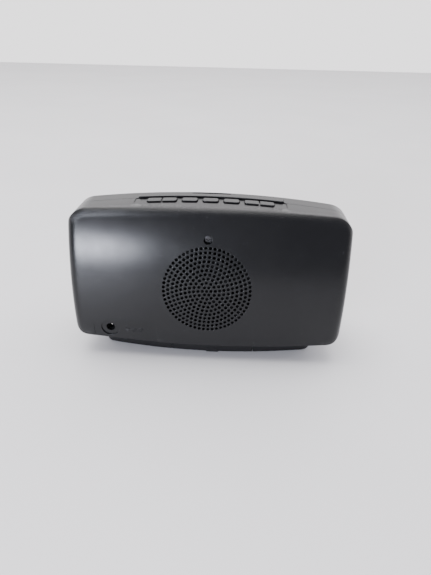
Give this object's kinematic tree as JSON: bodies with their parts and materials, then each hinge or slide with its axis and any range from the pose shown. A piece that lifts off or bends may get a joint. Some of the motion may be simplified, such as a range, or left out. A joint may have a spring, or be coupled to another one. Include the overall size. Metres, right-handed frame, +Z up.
{
  "type": "tabletop radio",
  "caption": "Small tabletop clock radio with a convex back, round speaker grille, key strip and snooze bar on top, and a smoked display window in front.",
  "frame": {"origin": "centre of the casing's width and depth, on the surface that the rubber feet stand on", "axes": "+Z up, the display looks towards -Y and the loudspeaker grille towards +Y, +X across the width"},
  "size_m": [0.194, 0.0749, 0.1115],
  "materials": {
    "casing": "satin charcoal moulding",
    "keys": "satin charcoal moulding",
    "base": "fine textured dark moulding",
    "lens": "smoked, polished",
    "digits": "lit segments",
    "display": "smooth",
    "holder": "moulded",
    "circuit_board": "solder resist",
    "chips": "moulded epoxy",
    "capacitors": "sleeved cans",
    "screened_cans": "tinned",
    "connectors": "moulded nylon",
    "screw_steel": "zinc plated",
    "ferrite": "sintered",
    "winding": "enamelled copper wire",
    "steel": "pressed",
    "paper_cone": "pressed paper",
    "contact": "nickel plated",
    "cell_sleeve": "printed sleeve",
    "rubber": "moulded",
    "wire": "insulated",
    "pin": "nickel plated"
  },
  "bodies": {
    "radio": {"front_shell": "casing", "rear_shell": "casing", "display_lens": "lens", "display_panel": "display", "display_digits": "digits", "display_holder": "holder", "main_board": "circuit_board", "board_chips": "chips", "board_capacitors": "capacitors", "tuner_cans": "screened_cans", "board_connectors": "connectors", "board_screws": "screw_steel", "ferrite_rod": "ferrite", "aerial_coil": "winding", "aerial_clips": "holder", "key_panel": "casing", "key_board": "circuit_board", "key_switches": "chips", "key_board_screws": "screw_steel", "rear_screw": "screw_steel", "dc_jack": "chips", "dc_pin": "pin", "speaker_basket": "steel", "speaker_plates": "steel", "speaker_magnet": "ferrite", "speaker_coil": "winding", "speaker_cone": "paper_cone", "speaker_dust_cap": "paper_cone", "speaker_screws": "screw_steel", "speaker_terminals": "circuit_board", "base_plate": "base", "backup_cells": "cell_sleeve", "battery_contacts": "contact", "base_screws": "screw_steel", "rubber_feet": "rubber", "speaker_lead": "wire", "power_lead": "wire", "battery_lead": "wire"},
    "key_1": {"key_1": "keys"},
    "key_2": {"key_2": "keys"},
    "key_3": {"key_3": "keys"},
    "left_rocker": {"key_left_rocker": "keys"},
    "right_rocker": {"key_right_rocker": "keys"},
    "snooze": {"snooze_bar": "keys"},
    "door": {"battery_door": "base"}
  },
  "joints": [
    {"name": "key_1_press", "type": "slide", "parent": "radio", "child": "key_1", "axis": [0, 0, -1], "range_m": [0, 0.0007], "stiffness_N_per_m": 700},
    {"name": "key_2_press", "type": "slide", "parent": "radio", "child": "key_2", "axis": [0, 0, -1], "range_m": [0, 0.0007], "stiffness_N_per_m": 700},
    {"name": "key_3_press", "type": "slide", "parent": "radio", "child": "key_3", "axis": [0, 0, -1], "range_m": [0, 0.0007], "stiffness_N_per_m": 700},
    {"name": "left_rocker_tilt", "type": "hinge", "parent": "radio", "child": "left_rocker", "pos_m": [0.03375, 0, 0.10359], "axis": [0, 1, 0], "range_deg": [-3, 3], "stiffness_Nm_per_rad": 0.05},
    {"name": "right_rocker_tilt", "type": "hinge", "parent": "radio", "child": "right_rocker", "pos_m": [-0.03375, 0, 0.10359], "axis": [0, 1, 0], "range_deg": [-3, 3], "stiffness_Nm_per_rad": 0.05},
    {"name": "snooze_press", "type": "slide", "parent": "radio", "child": "snooze", "axis": [0, 0, -1], "range_m": [0, 0.001], "stiffness_N_per_m": 600},
    {"name": "door_slide", "type": "slide", "parent": "radio", "child": "door", "axis": [0, 1, 0], "range_m": [0, 0.03]}
  ]
}
